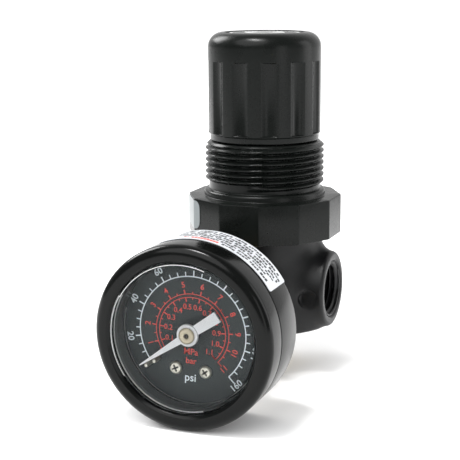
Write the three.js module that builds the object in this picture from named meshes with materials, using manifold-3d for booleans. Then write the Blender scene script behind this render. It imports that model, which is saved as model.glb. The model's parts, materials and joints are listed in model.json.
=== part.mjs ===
// Miniature air pressure regulator with a 40 mm pressure gauge on its front port.
// Millimetres. The origin is where the pipe axis crosses the regulator's own axis.
// +X points to the outlet port, +Z up along the adjusting knob, and the gauge faces -Y.
import * as THREE from "three";
import { mergeVertices } from "three/addons/utils/BufferGeometryUtils.js";
import Module from "manifold-3d";

const wasm = await Module();
wasm.setup();

// ---- Driving dimensions: regulator ----
const portFace = 18.4; // from the regulator's axis to each port face, on all four sides
const bossRadius = 9.45; // round boss of the two pipe ports
const gaugeBossRadius = 8.6; // round boss of the two gauge ports
const pipeBore = 6.9; // 1/4 in pipe thread
const gaugeBore = 5.2; // 1/8 in pipe thread
const boreBottom = 8.5; // where each port's bore ends, from the axis
const barrelRadius = 14.5;
const barrelBottom = -10.5;
const bodyTop = 18.5; // seat of the diaphragm
const collarBottom = 13.65;
const collarTop = 23.65;
const collarCorner = 19.42; // corner radius of the twelve-sided wrench collar
const collarSides = 12;
const stickerBottom = 16.15;
const stickerHeight = 7.1;
const beadRadius = 15.3; // raised bead around the foot of the neck
const neckRadius = 14.15;
const threadCrest = 15; // M30 x 1.5 panel thread
const threadRoot = 14.1;
const threadPitch = 1.5;
const threadStart = 27.3; // height of the lowest crest
const threadTurns = 7;
const bonnetShoulder = 37.3; // top of the threaded neck
const shoulderRadius = 13.85;
const hubRadius = 11.6; // hub that rises inside the knob
const hubTop = 49;
const webBottom = 46; // underside of the wall that the adjusting screw passes through
const springBore = 9.8;
const plugRadius = 7.8; // head of the bottom plug
const plugHeight = 2.1; // how far it stands out below the barrel
const socketCorner = 2.9; // corner radius of the 5 mm hexagon sockets in both plugs
const sealWire = 0.45; // section radius of the o-rings
const seatHeight = 3.7; // seat of the supply valve
const nutBottom = 40; // travelling nut, with the spring relaxed
const springBottom = 21.35;
const springRadius = 7;
const springWire = 1.05;
const screwHex = 3.6; // corner radius of the hexagon that the knob drives

// ---- Driving dimensions: knob ----
const knobRadius = 14.07;
const knobBottom = 37.6;
const lipRadius = 13.7; // plain lip below the scallops
const knobBore = 12.3; // hollow that the hub fits in
const knobCeiling = 59.4; // top of that hollow
const socketWall = 6.5; // outer radius of the hexagon socket inside it
const fluteBottom = 39.2;
const fluteTop = 57.35;
const knobTop = 64.2;
const knobRound = 3.6; // rounding of the knob's top edge
const knobRecess = 10.07; // radius of the recess for the cover
const recessDepth = 1.25;
const fluteCount = 12;
const fluteTool = 3.2; // radius of each scallop
const fluteDepth = 0.75;
const fluteTurn = -5.3; // bearing of one flute, degrees from -Y towards +X

// ---- Driving dimensions: gauge, measured along its axis from the dial's face ----
const dialY = -47.9; // the dial's face, in the regulator's frame
const caseRadius = 21.15;
const caseWall = 0.8;
const caseBack = -11;
const bezelFront = 7.2;
const bezelRound = 2.2;
const bezelOpening = 17.3;
const stemSquare = 11.1; // wrench square across its flats
const stemFlange = 7.4;
const squareEnd = -24.5; // rear end of that square
const caseScrewSpacing = 10.5; // from the gauge's axis to each of the two rear screws
const dialTwist = -2.5; // the gauge stops this many degrees past upright when it is tight
const dialRadius = 19.6;
const tubeRadius = 14.5; // mean radius of the bourdon tube
const pivotDistance = 9; // pinion to sector
const gearModule = 0.2;
const pinionTeeth = 10;
const sectorTeethFull = 80; // teeth that a full wheel of the sector's size would have
const toothThickness = 0.15;
const sectorPivotAngle = -90; // bearing of the sector's pivot from the pinion, degrees from +X
const pointerRest = 214.4; // bearing of the pointer's tip against its stop pins
const pointerTravel = 261;

const DEG = Math.PI / 180;

// ---- Materials ----
const finishes = {
  paintedZinc: { color: 0x161717, roughness: 0.5, metalness: 0.1 },
  blackAcetal: { color: 0x1b1c1c, roughness: 0.42, metalness: 0 },
  gaugeBlack: { color: 0x121213, roughness: 0.3, metalness: 0 },
  clearLens: { color: 0xdfe6e8, roughness: 0.05, metalness: 0 },
  dialBlack: { color: 0x2c2f31, roughness: 0.6, metalness: 0 },
  pointerWhite: { color: 0xe6e6e4, roughness: 0.5, metalness: 0 },
  brass: { color: 0xb39a60, roughness: 0.35, metalness: 1 },
  nickel: { color: 0xc9c5ba, roughness: 0.3, metalness: 1 },
  steel: { color: 0x9a9c9e, roughness: 0.35, metalness: 1 },
  rubber: { color: 0x101010, roughness: 0.85, metalness: 0 },
  labelWhite: { color: 0xe9e9e7, roughness: 0.6, metalness: 0 },
  labelSilver: { color: 0xb4b8bb, roughness: 0.45, metalness: 0.2 },
};

// ---- Geometry helpers ----

// Merges shared corners, drops the empty faces at a pole and turns the faces outwards.
function closed(geometry) {
  const flat = geometry.index ? geometry.toNonIndexed() : geometry.clone();
  flat.deleteAttribute("normal");
  flat.deleteAttribute("uv");
  const merged = mergeVertices(flat, 1e-4);
  const corner = (i) => new THREE.Vector3().fromBufferAttribute(merged.attributes.position, i);
  const faces = [];
  let volume = 0;
  for (let i = 0; i < merged.index.count; i += 3) {
    const [a, b, c] = [0, 1, 2].map((k) => merged.index.getX(i + k));
    if (a === b || b === c || c === a) continue;
    faces.push([a, b, c]);
    volume += corner(a).dot(corner(b).cross(corner(c)));
  }
  merged.setIndex(faces.flatMap(([a, b, c]) => (volume < 0 ? [a, c, b] : [a, b, c])));
  return merged;
}

function toSolid(geometry) {
  const { attributes, index } = closed(geometry);
  const vertProperties = new Float32Array(attributes.position.array);
  const triVerts = new Uint32Array(index.array);
  return new wasm.Manifold(new wasm.Mesh({ numProp: 3, vertProperties, triVerts }));
}

function toGeometry(solid) {
  const mesh = solid.getMesh();
  const geometry = new THREE.BufferGeometry();
  geometry.setAttribute("position", new THREE.BufferAttribute(mesh.vertProperties, 3));
  geometry.setIndex([...mesh.triVerts]);
  geometry.computeVertexNormals();
  return geometry;
}

const joined = (first, ...others) =>
  toGeometry(others.reduce((sum, other) => sum.add(toSolid(other)), toSolid(first)));

const cut = (first, ...tools) =>
  toGeometry(tools.reduce((rest, tool) => rest.subtract(toSolid(tool)), toSolid(first)));

// A profile of [radius, height] points turned about Z, or about X or Y.
function turned(profile, segments = 32, axis = "z", start = 0) {
  const points = profile.map(([radius, height]) => new THREE.Vector2(radius, height));
  const geometry = new THREE.LatheGeometry(points, segments, start);
  if (axis === "z") geometry.rotateX(Math.PI / 2);
  if (axis === "x") geometry.rotateZ(-Math.PI / 2);
  return closed(geometry);
}

// A profile that leaves a hole along its axis: it closes on itself.
const turnedRing = (profile, segments, axis) => turned([...profile, profile[0]], segments, axis);

const rod = (radius, low, high, segments = 12, axis = "z") =>
  turned([[0, low], [radius, low], [radius, high], [0, high]], segments, axis);

const tube = (inner, outer, low, high, segments = 20) =>
  turnedRing([[inner, low], [outer, low], [outer, high], [inner, high]], segments);

const at = (geometry, x, y, z = 0) => geometry.clone().translate(x, y, z);

// Points of a quarter-round edge in a profile, from one angle to another.
function roundEdge(radius, height, size, from, to, steps = 3) {
  return Array.from({ length: steps + 1 }, (_, i) => {
    const angle = (from + ((to - from) * i) / steps) * DEG;
    return [radius + size * Math.cos(angle), height + size * Math.sin(angle)];
  });
}

const oring = (radius, segments) => closed(new THREE.TorusGeometry(radius, sealWire, 6, segments));

const hexRod = (corner, low, high, axis) => rod(corner, low, high, 6, axis);

function block(width, depth, low, high) {
  return new THREE.BoxGeometry(width, depth, high - low).translate(0, 0, (low + high) / 2);
}

function slab(shape, low, high, curveSegments = 12) {
  const options = { depth: high - low, bevelEnabled: false, curveSegments };
  return closed(new THREE.ExtrudeGeometry(shape, options).translate(0, 0, low));
}

// A band of a ring between two bearings, in degrees.
function ringBand(inner, outer, from, to) {
  const shape = new THREE.Shape();
  shape.absarc(0, 0, outer, from * DEG, to * DEG, false);
  shape.absarc(0, 0, inner, to * DEG, from * DEG, true);
  shape.closePath();
  return shape;
}

class Helix extends THREE.Curve {
  constructor(radius, low, high, turns) {
    super();
    Object.assign(this, { radius, low, high, turns });
  }
  getPoint(t, target = new THREE.Vector3()) {
    const angle = t * this.turns * 2 * Math.PI;
    const height = this.low + (this.high - this.low) * t;
    return target.set(this.radius * Math.cos(angle), this.radius * Math.sin(angle), height);
  }
}

function swept(curve, section, steps) {
  const options = { extrudePath: curve, steps, curveSegments: 2, bevelEnabled: false };
  return closed(new THREE.ExtrudeGeometry(section, options));
}

function coil(radius, wire, low, high, turns, stepsPerTurn = 10) {
  const section = new THREE.Shape();
  for (let i = 0; i < 6; i++) {
    const angle = (i * Math.PI) / 3;
    const point = [wire * Math.cos(angle), wire * Math.sin(angle)];
    if (i === 0) section.moveTo(...point);
    else section.lineTo(...point);
  }
  section.closePath();
  return swept(new Helix(radius, low + wire, high - wire, turns), section, turns * stepsPerTurn);
}

const polar = (radius, degrees) => [radius * Math.cos(degrees * DEG), radius * Math.sin(degrees * DEG)];

// ---- Scene graph ----
const regulator = new THREE.Group();
const gauge = new THREE.Group(); // local +Z looks out of the dial
gauge.position.set(0, dialY, 0);
gauge.rotation.x = Math.PI / 2;
const dialFace = new THREE.Group(); // turned with the printed scale
dialFace.rotation.z = dialTwist * DEG;
gauge.add(dialFace);
regulator.add(gauge);

function add(parent, name, finish, geometry, x = 0, y = 0, z = 0) {
  const mesh = new THREE.Mesh(geometry, new THREE.MeshStandardMaterial(finishes[finish]));
  mesh.name = name;
  mesh.position.set(x, y, z);
  parent.add(mesh);
  return mesh;
}

// ---- Die-cast body: barrel, four ports, valve chamber, diaphragm seat and passages ----
function bodyGeometry() {
  const edge = 1.2;
  const barrel = turned([
    [0, barrelBottom],
    ...roundEdge(barrelRadius - edge, barrelBottom + edge, edge, -90, 0),
    [barrelRadius, collarBottom + 0.3],
    [17, collarBottom + 0.3],
    [17, bodyTop],
    [0, bodyTop],
  ]);
  const boss = (radius, axis) => {
    const rim = 0.7;
    return turned([
      [0, -portFace],
      [radius - rim, -portFace],
      [radius, -portFace + rim],
      [radius, portFace - rim],
      [radius - rim, portFace],
      [0, portFace],
    ], 24, axis);
  };
  const cavity = turned([
    [0, -12],
    [7.2, -12],
    [7.2, -9.3],
    [5.6, -9.3],
    [5.6, 4],
    [2.6, 4],
    [2.6, 6],
    [5, 6],
    [5, 13],
    [12.5, 13],
    [12.5, 20],
    [0, 20],
  ], 20);
  const bore = (radius, sign, axis) =>
    turned([
      [0, sign * (boreBottom - 1.5)],
      [radius, sign * boreBottom],
      [radius, sign * (portFace + 1)],
      [0, sign * (portFace + 1)],
    ], 20, axis);
  const passage = (radius, x, y) => at(rod(radius, 0, 14, 8), x, y);
  const solid = joined(barrel, boss(bossRadius, "x"), boss(gaugeBossRadius, "y"));
  return cut(
    solid,
    cavity,
    bore(pipeBore, 1, "x"),
    bore(pipeBore, -1, "x"),
    bore(gaugeBore, 1, "y"),
    bore(gaugeBore, -1, "y"),
    at(rod(2.6, -9, -3, 12, "x"), 0, 0, -2), // inlet port to the valve chamber
    passage(2.2, 10.4, 0), // outlet port to the diaphragm chamber
    passage(1.5, 0, 10.6), // gauge ports to the diaphragm chamber
    passage(1.5, 0, -10.6),
  );
}
add(regulator, "body", "paintedZinc", bodyGeometry());

// ---- Bonnet: wrench collar, bead, M30 neck and the hub inside the knob ----
function bonnetGeometry() {
  const halfSide = Math.PI / collarSides;
  const collar = turned([
    [0, collarBottom],
    [collarCorner, collarBottom],
    [collarCorner, collarTop],
    [0, collarTop],
  ], collarSides, "z", halfSide);
  const thread = Array.from({ length: threadTurns }, (_, turn) => {
    const crest = threadStart + turn * threadPitch;
    return [[threadRoot, crest - threadPitch / 2], [threadCrest, crest]];
  }).flat();
  const neck = turned([
    [0, collarTop - 1],
    [beadRadius, collarTop - 1],
    ...roundEdge(beadRadius - 1, collarTop + 0.4, 1, 0, 90, 2),
    [neckRadius, collarTop + 1.9],
    ...thread,
    [shoulderRadius, bonnetShoulder],
    [hubRadius, bonnetShoulder],
    [hubRadius, 42.9],
    [11.1, 42.9],
    [11.1, 44.3],
    [hubRadius, 44.3],
    [hubRadius, hubTop - 0.6],
    [hubRadius - 0.6, hubTop],
    [0, hubTop],
  ], 28);
  const cavity = turned([
    [0, 13],
    [17.3, 13],
    [17.3, 19.8],
    [12.6, 19.8],
    [12.6, 22.8],
    [springBore, 24.6],
    [springBore, webBottom],
    [4, webBottom],
    [4, 50],
    [0, 50],
  ], 20);
  const keyway = block(21, 3.4, 24, webBottom);
  const vent = at(rod(0.8, 8, 16, 8, "y"), 0, 0, 26.1);
  return cut(joined(collar, neck), cavity, keyway, vent);
}
add(regulator, "bonnet", "blackAcetal", bonnetGeometry());

// ---- Bottom plug with its seal, and the plug in the rear gauge port ----
function bottomPlugGeometry() {
  const plug = turned([
    [0, 0],
    [plugRadius - 0.6, 0],
    [plugRadius, 0.6],
    [plugRadius, 1.8],
    [5.3, 1.8],
    [5.3, 6.1],
    [3, 6.1],
    [3, 2],
    [0, 2],
  ], 20);
  return cut(plug, hexRod(socketCorner, -1, 1.2));
}
add(regulator, "bottom_plug", "brass", bottomPlugGeometry(), 0, 0, barrelBottom - plugHeight);
add(regulator, "bottom_plug_oring", "rubber", oring(6.35, 16), 0, 0, barrelBottom + 0.6);

const portPlugLength = 7.4;
const portPlugSunk = 0.4; // below the face of the boss
const portPlug = cut(
  rod(4.85, 0, portPlugLength, 20, "y"),
  hexRod(socketCorner, portPlugLength - 4, portPlugLength + 1, "y"),
);
add(regulator, "rear_port_plug", "steel", portPlug, 0, portFace - portPlugLength - portPlugSunk, 0);

// ---- Supply valve: poppet, seat seal, stem seal and return spring ----
const poppet = turned([
  [0, -8.9],
  [1.8, -8.9],
  [1.8, -8.3],
  [1.55, -8.3],
  [1.55, -7.1],
  [1.8, -7.1],
  [1.8, 1],
  [4.2, 1],
  [4.2, seatHeight - 0.8],
  [1.2, seatHeight - 0.8],
  [1.2, 16.2],
  [0, 16.6],
], 12);
add(regulator, "valve", "brass", poppet);
add(regulator, "valve_seal", "rubber", tube(1.5, 4.2, 0, 0.7), 0, 0, seatHeight - 0.7);
add(regulator, "valve_oring", "rubber", oring(2.2, 12), 0, 0, -7.7);
add(regulator, "valve_spring", "steel", coil(3.9, 0.35, 0, 7.1, 4, 8), 0, 0, -6.3);

// ---- Diaphragm between body and bonnet, its upper plate and the relief seat through it ----
const diaphragm = turnedRing([
  [2, 0],
  [9.2, 0],
  [10.8, 0.9],
  [12.4, 0],
  [16.6, 0],
  [16.6, 1],
  [12.6, 1],
  [10.8, 1.9],
  [9, 1],
  [2, 1],
], 20);
add(regulator, "diaphragm", "rubber", diaphragm, 0, 0, bodyTop + 0.15);
const springPlate = turnedRing([[2, 0], [8.8, 0], [8.8, 1.3], [5.4, 1.3], [5.4, 3], [2, 3]], 16);
add(regulator, "diaphragm_plate", "steel", springPlate, 0, 0, 19.8);
const reliefSeat = turnedRing([[0.8, 0], [4.5, 0], [4.5, 1.5], [1.7, 1.5], [1.7, 6.6], [0.8, 6.6]], 12);
add(regulator, "relief_seat", "brass", reliefSeat, 0, 0, 16.95);

// ---- Regulating spring, its travelling nut, the adjusting screw and the thrust washer ----
const springLength = nutBottom - springBottom - 0.25;
const spring = coil(springRadius, springWire, 0, springLength, 4);
add(regulator, "regulating_spring", "steel", spring, 0, 0, springBottom);
const nutWithKeys = joined(rod(9.4, 0, 4, 20), block(20.2, 2.8, 0, 4));
add(regulator, "spring_nut", "brass", cut(nutWithKeys, rod(4.2, -1, 5)), 0, 0, nutBottom);
const adjustingScrew = joined(
  turned([
    [0, 31.5],
    [3.4, 31.5],
    [3.9, 32],
    [3.9, webBottom - 1.4],
    [6, webBottom - 1.4],
    [6, webBottom - 0.6],
    [3.6, webBottom - 0.6],
    [3.6, hubTop + 0.6],
    [0, hubTop + 0.6],
  ], 12),
  hexRod(screwHex, hubTop, 58),
);
add(regulator, "adjusting_screw", "steel", adjustingScrew);
add(regulator, "thrust_washer", "blackAcetal", tube(4.2, 8, 0, 0.4), 0, 0, webBottom - 0.5);
add(regulator, "knob_detent_ring", "steel", tube(11.25, 12, 0, 0.8, 24), 0, 0, 43.2);

// ---- Knob: twelve scallops under a smooth cap, hollow below, with a hexagon socket ----
function knobGeometry() {
  const outside = turned([
    [0, knobBottom],
    [lipRadius, knobBottom],
    [lipRadius, fluteBottom - 0.2],
    [knobRadius, fluteBottom + 0.3],
    ...roundEdge(knobRadius - knobRound, knobTop - knobRound, knobRound, 0, 90, 4),
    [knobRecess, knobTop],
    [knobRecess, knobTop - recessDepth],
    [0, knobTop - recessDepth],
  ], 36);
  const hollow = turned([
    [0, 37],
    [knobBore, 37],
    [knobBore, knobCeiling],
    [socketWall, knobCeiling],
    [socketWall, 52],
    [0, 52],
  ], 20);
  const flutes = Array.from({ length: fluteCount }, (_, i) => {
    const bearing = (fluteTurn + (i * 360) / fluteCount) * DEG;
    const reach = knobRadius + fluteTool - fluteDepth;
    const scallop = rod(fluteTool, fluteBottom, fluteTop, 16);
    return at(scallop, reach * Math.sin(bearing), -reach * Math.cos(bearing));
  });
  return cut(outside, hollow, hexRod(screwHex + 0.35, 51, knobCeiling - 0.6), ...flutes);
}
add(regulator, "knob", "blackAcetal", knobGeometry());
const coverDisc = turned([[0, 0], [9.2, 0], [9.75, 0], [9.75, 0.5], [9.2, 0.7], [0, 0.7]], 24);
add(regulator, "knob_cover", "blackAcetal", coverDisc, 0, 0, knobTop - recessDepth + 0.3);

// ---- Sticker bent round one corner of the collar ----
function collarLabelGeometry() {
  const gap = 0.06;
  const thickness = 0.14;
  const flat = collarCorner * Math.cos(Math.PI / collarSides);
  const corner = (bearing, offset) => {
    const radius = (flat + offset) / Math.cos(Math.PI / collarSides);
    return [radius * Math.sin(bearing * DEG), -radius * Math.cos(bearing * DEG)];
  };
  const along = (a, b, share) => [a[0] + (b[0] - a[0]) * share, a[1] + (b[1] - a[1]) * share];
  const edge = (offset) => {
    const [left, middle, right] = [-75, -45, -15].map((bearing) => corner(bearing, offset));
    return [along(left, middle, 0.03), middle, along(middle, right, 0.22)];
  };
  const outline = [...edge(gap), ...edge(gap + thickness).reverse()];
  return slab(new THREE.Shape(outline.map(([x, y]) => new THREE.Vector2(x, y))), 0, stickerHeight);
}
add(regulator, "bonnet_label", "labelSilver", collarLabelGeometry(), 0, 0, stickerBottom);

// ---- Gauge case, bezel, lens and the rings that hold the dial ----
function gaugeCaseGeometry() {
  const edge = 1.4;
  const shell = turnedRing([
    [5.4, caseBack],
    ...roundEdge(caseRadius - edge, caseBack + edge, edge, -90, 0, 2),
    [caseRadius, 0],
    [caseRadius - caseWall, 0],
    [caseRadius - caseWall, -0.7],
    [17.5, -0.7],
    [17.5, -1.6],
    [caseRadius - caseWall, -1.6],
    [caseRadius - caseWall, caseBack + caseWall],
    [5.4, caseBack + caseWall],
  ], 36);
  return cut(shell, ...[caseScrewSpacing, -caseScrewSpacing].map((y) => at(rod(1.5, -12, -9, 10), 0, y)));
}
add(gauge, "gauge_case", "gaugeBlack", gaugeCaseGeometry());

const bezel = turnedRing([
  [19.9, 0.3],
  [caseRadius, 0.3],
  ...roundEdge(caseRadius - bezelRound, bezelFront - bezelRound, bezelRound, 0, 90, 3),
  [bezelOpening + 0.4, bezelFront],
  [bezelOpening, bezelFront - 0.5],
  [bezelOpening, 6.1],
  [19.9, 6.1],
], 36);
add(gauge, "gauge_bezel", "gaugeBlack", bezel);

const lens = turned([
  [0, 4.7],
  [16.4, 4.7],
  [16.4, 0.3],
  [17, 0.3],
  [17, 4.7],
  [19.6, 4.7],
  [19.6, 5.9],
  [16.9, 5.9],
  [16.9, 6.4],
  [16.5, 6.7],
  [0, 6.7],
], 28);
add(gauge, "gauge_lens", "clearLens", lens);
add(gauge, "lens_gasket", "rubber", tube(17.7, 19.5, 0, 0.7, 24), 0, 0, 3.8);
add(gauge, "dial_spacer", "gaugeBlack", tube(17.7, 19.5, 0, 3.4, 24), 0, 0, 0.2);

// ---- Dial with its screws and the two pins that the pointer rests on ----
const screwBearings = { dial_screw_left: -112.3, dial_screw_right: -67.7 };
const dialScrewRadius = 9.45;
const screwHole = 0.95;
const dialHoles = Object.values(screwBearings).map((bearing) =>
  at(rod(screwHole, -1, 1, 10), ...polar(dialScrewRadius, bearing)),
);
const dial = cut(rod(dialRadius, -0.5, 0, 32), rod(1, -1, 1, 12), ...dialHoles);
add(dialFace, "gauge_dial", "dialBlack", dial);
const dialScrew = joined(
  turned([[0, 0.1], [1.5, 0.1], [1.5, 0.5], [1.1, 0.85], [0, 0.85]], 16),
  rod(0.7, -1.6, 0.3, 10),
);
for (const [name, bearing] of Object.entries(screwBearings)) {
  add(dialFace, name, "nickel", dialScrew, ...polar(dialScrewRadius, bearing));
}
const stopPins = { stop_pin_outer: [13, 3.6], stop_pin_inner: [10.7, 5.3] };
for (const [name, [radius, lead]] of Object.entries(stopPins)) {
  const pin = turned([[0, 0.1], [0.5, 0.1], [0.5, 2.8], [0.3, 3], [0, 3]], 12);
  add(gauge, name, "nickel", pin, ...polar(radius, pointerRest + lead));
}

// ---- Pointer and its hub ----
function pointerGeometry() {
  const hole = 1.2;
  const ring = 2.55;
  const tipRadius = 14.5;
  const tailRadius = 8.65;
  const blade = new THREE.Shape();
  blade.moveTo(tipRadius, 0.15);
  blade.lineTo(0, 1);
  blade.lineTo(0, 1.1);
  blade.lineTo(-tailRadius, 1.1);
  blade.lineTo(-tailRadius, -1.1);
  blade.lineTo(0, -1.1);
  blade.lineTo(0, -1);
  blade.lineTo(tipRadius, -0.15);
  blade.closePath();
  const body = joined(slab(blade, 2.35, 2.7), rod(ring, 2.35, 3.05, 20));
  return cut(body, rod(hole, 2, 4, 12));
}
const pointer = add(gauge, "pointer", "pointerWhite", pointerGeometry());
pointer.rotation.z = pointerRest * DEG;
const hubProfile = [[0, 1.8], [0.9, 1.8], [0.9, 3.2], [1.8, 3.2], [1.8, 3.5], [1.6, 3.7], [0, 3.7]];
add(gauge, "pointer_hub", "brass", turned(hubProfile, 16));

// ---- Gears: straight teeth, thin enough to run freely at every angle ----
function toothedArc(teeth, teethFull, addendum, dedendum, firstAngle) {
  const pitchRadius = (teethFull * gearModule) / 2;
  const step = 360 / teethFull;
  const half = (thickness, radius) => thickness / radius / 2 / DEG;
  const points = [];
  for (let i = 0; i < teeth; i++) {
    const middle = firstAngle + i * step;
    const root = pitchRadius - dedendum;
    const tip = pitchRadius + addendum;
    points.push(polar(root, middle - half(toothThickness * 1.4, root)));
    points.push(polar(tip, middle - half(toothThickness * 0.5, tip)));
    points.push(polar(tip, middle + half(toothThickness * 0.5, tip)));
    points.push(polar(root, middle + half(toothThickness * 1.4, root)));
  }
  return points.map(([x, y]) => new THREE.Vector2(x, y));
}

const sectorRatio = pinionTeeth / sectorTeethFull;
const sectorSwing = pointerTravel * sectorRatio;
const meshBearing = sectorPivotAngle + 180; // from the sector's pivot to the pinion
const sectorStep = 360 / sectorTeethFull;
const sectorPivot = polar(pivotDistance, sectorPivotAngle);
const tailLength = 5;
const tailBearing = 127.9;
const gearLow = -3.9;
const gearHigh = -3.1;

function sectorGeometry() {
  const teethBehind = Math.ceil(sectorSwing / sectorStep) + 1;
  const first = meshBearing - teethBehind * sectorStep;
  const outline = toothedArc(teethBehind + 2, sectorTeethFull, 0.17, 0.25, first);
  const wheel = new THREE.Shape([new THREE.Vector2(0, 0), ...outline]);
  const window = ringBand(3.2, 6.3, first + 6, meshBearing - 4);
  const [tailX, tailY] = polar(tailLength, tailBearing);
  const arm = at(block(tailLength, 1.3, gearLow, gearHigh), tailLength / 2, 0).rotateZ(tailBearing * DEG);
  return joined(
    cut(slab(wheel, gearLow, gearHigh), slab(window, -5, -2, 4)),
    rod(1.5, gearLow, gearHigh, 12),
    arm,
    at(rod(0.9, gearLow, gearHigh, 12), tailX, tailY),
    at(rod(0.35, -4.9, gearHigh, 8), tailX, tailY),
    rod(0.45, -5.9, -1.1, 8),
  );
}
add(gauge, "sector_gear", "brass", sectorGeometry(), ...sectorPivot);

// The pinion has a tooth gap facing the sector, whose tooth stands on the line of centres.
const pinionFirst = meshBearing + 180 + 180 / pinionTeeth;
const pinionOutline = toothedArc(pinionTeeth, pinionTeeth, 0.17, 0.25, pinionFirst);
const pinion = joined(slab(new THREE.Shape(pinionOutline), -4.1, -2.9), rod(0.45, -5.9, 1.5, 8));
add(gauge, "pinion", "brass", pinion);

// ---- Link from the sector's tail to the tip of the bourdon tube ----
const tipBearing = 235;
const tipPin = polar(14.45, tipBearing);
const tailPin = [0, 1].map((k) => sectorPivot[k] + polar(tailLength, tailBearing)[k]);
const linkSpan = [tipPin[0] - tailPin[0], tipPin[1] - tailPin[1]];
const linkLength = Math.hypot(...linkSpan);

function linkGeometry() {
  const eye = 0.95;
  const bar = at(block(linkLength, 0.7, -4.7, -4.2), linkLength / 2, 0);
  const ends = [0, linkLength].map((x) => at(rod(eye, -4.7, -4.2, 12), x, 0));
  const holes = [at(rod(0.5, -5, -4, 8), 0, 0), at(rod(0.68, -5, -4, 8), linkLength, 0)];
  return cut(joined(bar, ...ends), ...holes);
}
const link = add(gauge, "link", "brass", linkGeometry(), ...tailPin);
link.rotation.z = Math.atan2(linkSpan[1], linkSpan[0]);

const tipBlock = joined(
  slab(ringBand(13.7, 15.3, tipBearing - 3.5, tipBearing + 4), -8.2, -5, 4),
  at(rod(0.3, -5.1, -4.1, 8), ...tipPin),
);
add(gauge, "tube_tip", "brass", tipBlock);
const tubeBand = ringBand(tubeRadius - 0.7, tubeRadius + 0.7, -72, tipBearing - 5);
add(gauge, "bourdon_tube", "brass", slab(tubeBand, -8.2, -3.8, 20));

// ---- Movement plates, pillars and hairspring ----
function roundedPlate(low, high, holes) {
  const [left, right, bottom, top, corner] = [-8.3, 8.3, -10.6, 7.4, 3];
  const shape = new THREE.Shape();
  shape.absarc(right - corner, top - corner, corner, 0, 90 * DEG, false);
  shape.absarc(left + corner, top - corner, corner, 90 * DEG, 180 * DEG, false);
  shape.absarc(left + corner, bottom + corner, corner, 180 * DEG, 270 * DEG, false);
  shape.absarc(right - corner, bottom + corner, corner, 270 * DEG, 360 * DEG, false);
  shape.closePath();
  const tools = holes.map(([radius, x, y]) => at(rod(radius, low - 1, high + 1, 10), x, y));
  return cut(slab(shape, low, high, 3), ...tools);
}
const arborHoles = [[0.6, 0, 0], [0.6, ...sectorPivot]];
const screwHoles = Object.values(screwBearings).map((bearing) => [
  screwHole,
  ...polar(dialScrewRadius, bearing + dialTwist),
]);
add(gauge, "movement_plate_front", "brass", roundedPlate(-1.7, -1, [...arborHoles, ...screwHoles]));
add(gauge, "movement_plate_back", "brass", roundedPlate(-6, -5.3, arborHoles));
add(gauge, "movement_pillar_left", "brass", rod(0.9, -5.2, -1.8, 12), -5.2, 5.6, 0);
add(gauge, "movement_pillar_right", "brass", rod(0.9, -5.2, -1.8, 12), 6.6, -4.6, 0);

class Spiral extends THREE.Curve {
  constructor(inner, outer, turns) {
    super();
    Object.assign(this, { inner, outer, turns });
  }
  getPoint(t, target = new THREE.Vector3()) {
    const radius = this.inner + (this.outer - this.inner) * t;
    const angle = t * this.turns * 2 * Math.PI;
    return target.set(radius * Math.cos(angle), radius * Math.sin(angle), 0);
  }
}
const [stripHalfThickness, stripHalfWidth] = [0.07, 0.2];
const strip = new THREE.Shape([
  new THREE.Vector2(-stripHalfThickness, -stripHalfWidth),
  new THREE.Vector2(stripHalfThickness, -stripHalfWidth),
  new THREE.Vector2(stripHalfThickness, stripHalfWidth),
  new THREE.Vector2(-stripHalfThickness, stripHalfWidth),
]);
add(gauge, "hairspring", "steel", swept(new Spiral(0.8, 3.4, 3), strip, 30), 0, 0, -2.35);

// ---- Stem: socket block, wrench square and pipe thread, with the restrictor in its bore ----
function stemGeometry() {
  const bossFace = portFace + dialY; // face of the body's front port
  const threadEnd = bossFace - 6.5;
  const body = joined(
    at(block(8, 28.7, -10, -6.3), 0, -1.85),
    rod(5, -11.4, -9.9, 16),
    rod(stemFlange, -12.9, -11.3, 20),
    block(stemSquare, stemSquare, squareEnd, -12.9),
    turned([
      [0, threadEnd],
      [4.4, threadEnd],
      [4.85, threadEnd + 0.6],
      [4.95, -26],
      [4.2, -25.4],
      [4.2, squareEnd + 0.5],
      [0, squareEnd + 0.5],
    ], 16),
  );
  const screwSeats = [caseScrewSpacing, -caseScrewSpacing].map((y) => at(rod(1.3, -11, -6.9, 10), 0, y));
  return cut(body, rod(1.6, threadEnd - 1, -8, 14), ...screwSeats);
}
add(gauge, "gauge_stem", "brass", stemGeometry());
add(gauge, "stem_restrictor", "steel", tube(0.35, 1.3, 0, 3, 10), 0, 0, -35.6);

const caseScrew = joined(
  turned([[0, -12.4], [1.7, -12.4], [2.2, -11.9], [2.2, -11.3], [0, -11.3]], 16),
  rod(1, -11.5, -7.4, 10),
);
add(gauge, "case_screw_top", "steel", caseScrew, 0, caseScrewSpacing, 0);
add(gauge, "case_screw_bottom", "steel", caseScrew, 0, -caseScrewSpacing, 0);

// ---- Printed label round the top of the gauge case ----
const labelBand = ringBand(caseRadius + 0.1, caseRadius + 0.25, 30.5, 112);
add(gauge, "case_label", "labelWhite", slab(labelBand, -10, -0.4, 12));

export default regulator;
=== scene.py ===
import json
import math

import bmesh
import bpy
import numpy as np
from mathutils import Matrix, Vector


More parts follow.
